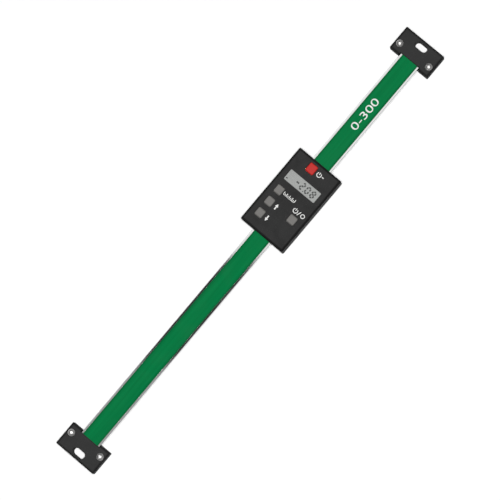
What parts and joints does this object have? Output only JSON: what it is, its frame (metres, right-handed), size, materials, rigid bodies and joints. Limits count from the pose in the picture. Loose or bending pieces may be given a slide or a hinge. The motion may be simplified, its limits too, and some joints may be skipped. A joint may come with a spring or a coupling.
{
  "type": "digital linear scale",
  "caption": "Upright digital linear scale unit: flat polished beam with a green scale film, slotted end brackets, and a slider with a display and keys.",
  "frame": {"origin": "centre of the footprint, on the plane of the end brackets' mounting faces", "axes": "+X along the beam towards the upper bracket, +Z out of the display face, and the display reads with its right-hand side towards -Y"},
  "size_m": [0.414, 0.041, 0.019],
  "materials": {
    "polished_steel": "polished",
    "scale_board": "matte",
    "green_film": "gloss",
    "black_metal": "satin",
    "screw_steel": "satin",
    "plate_steel": "satin",
    "dark_steel": "satin",
    "brass_metal": "satin",
    "ptfe": "matte",
    "felt": "matte",
    "cover_plastic": "matte",
    "overlay_film": "matte",
    "clear_lens": "gloss",
    "display_cell": "gloss",
    "white_plastic": "matte",
    "black_rubber": "matte",
    "board_green": "satin",
    "copper": "satin",
    "chip_black": "matte",
    "small_parts": "matte",
    "switch_grey": "satin",
    "cell_steel": "polished",
    "gold_plate": "polished",
    "red_key": "satin",
    "grey_key": "satin"
  },
  "bodies": {
    "beam_assembly": {"beam": "polished_steel", "scale_strip": "scale_board", "scale_film": "green_film", "upper_bracket_base": "black_metal", "upper_bracket_cap": "black_metal", "upper_bracket_screws": "screw_steel", "lower_bracket_base": "black_metal", "lower_bracket_cap": "black_metal", "lower_bracket_screws": "screw_steel"},
    "slider": {"slider_frame": "black_metal", "back_plate": "plate_steel", "back_plate_screws": "screw_steel", "gib_strip": "brass_metal", "gib_screws": "dark_steel", "glide_pads": "ptfe", "wipers": "felt", "front_cover": "cover_plastic", "cover_screws": "screw_steel", "face_overlay": "overlay_film", "display_window": "clear_lens", "display_glass": "display_cell", "display_holder": "white_plastic", "contact_rubbers": "black_rubber", "circuit_board": "board_green", "board_screws": "screw_steel", "sensing_electrodes": "copper", "measuring_chip": "chip_black", "crystal": "screw_steel", "board_parts": "small_parts", "switch_housings": "switch_grey", "button_cell": "cell_steel", "cell_contact_plus": "gold_plate", "cell_contact_minus": "gold_plate", "port_contacts": "gold_plate"},
    "off_button": {"off_key": "red_key", "off_plunger": "switch_grey"},
    "zero_button": {"zero_key": "grey_key", "zero_plunger": "switch_grey"},
    "unit_button": {"unit_key": "grey_key", "unit_plunger": "switch_grey"},
    "up_button": {"up_key": "grey_key", "up_plunger": "switch_grey"},
    "down_button": {"down_key": "grey_key", "down_plunger": "switch_grey"},
    "battery_cover": {"battery_door": "cover_plastic"},
    "port_shutter": {"port_cover": "cover_plastic"}
  },
  "joints": [
    {"name": "slider_travel", "type": "slide", "parent": "beam_assembly", "child": "slider", "axis": [1, 0, 0], "range_m": [-0.1995, 0.1025]},
    {"name": "off_press", "type": "slide", "parent": "slider", "child": "off_button", "axis": [0, 0, -1], "range_m": [0, 0.0005], "stiffness_N_per_m": 2000, "springref_m": -0.0002},
    {"name": "zero_press", "type": "slide", "parent": "slider", "child": "zero_button", "axis": [0, 0, -1], "range_m": [0, 0.0005], "stiffness_N_per_m": 2000, "springref_m": -0.0002},
    {"name": "unit_press", "type": "slide", "parent": "slider", "child": "unit_button", "axis": [0, 0, -1], "range_m": [0, 0.0005], "stiffness_N_per_m": 2000, "springref_m": -0.0002},
    {"name": "up_press", "type": "slide", "parent": "slider", "child": "up_button", "axis": [0, 0, -1], "range_m": [0, 0.0005], "stiffness_N_per_m": 2000, "springref_m": -0.0002},
    {"name": "down_press", "type": "slide", "parent": "slider", "child": "down_button", "axis": [0, 0, -1], "range_m": [0, 0.0005], "stiffness_N_per_m": 2000, "springref_m": -0.0002},
    {"name": "battery_door_slide", "type": "slide", "parent": "slider", "child": "battery_cover", "axis": [0, 1, 0], "range_m": [0, 0.0035]},
    {"name": "port_cover_slide", "type": "slide", "parent": "slider", "child": "port_shutter", "axis": [0, 1, 0], "range_m": [0, 0.003]}
  ]
}
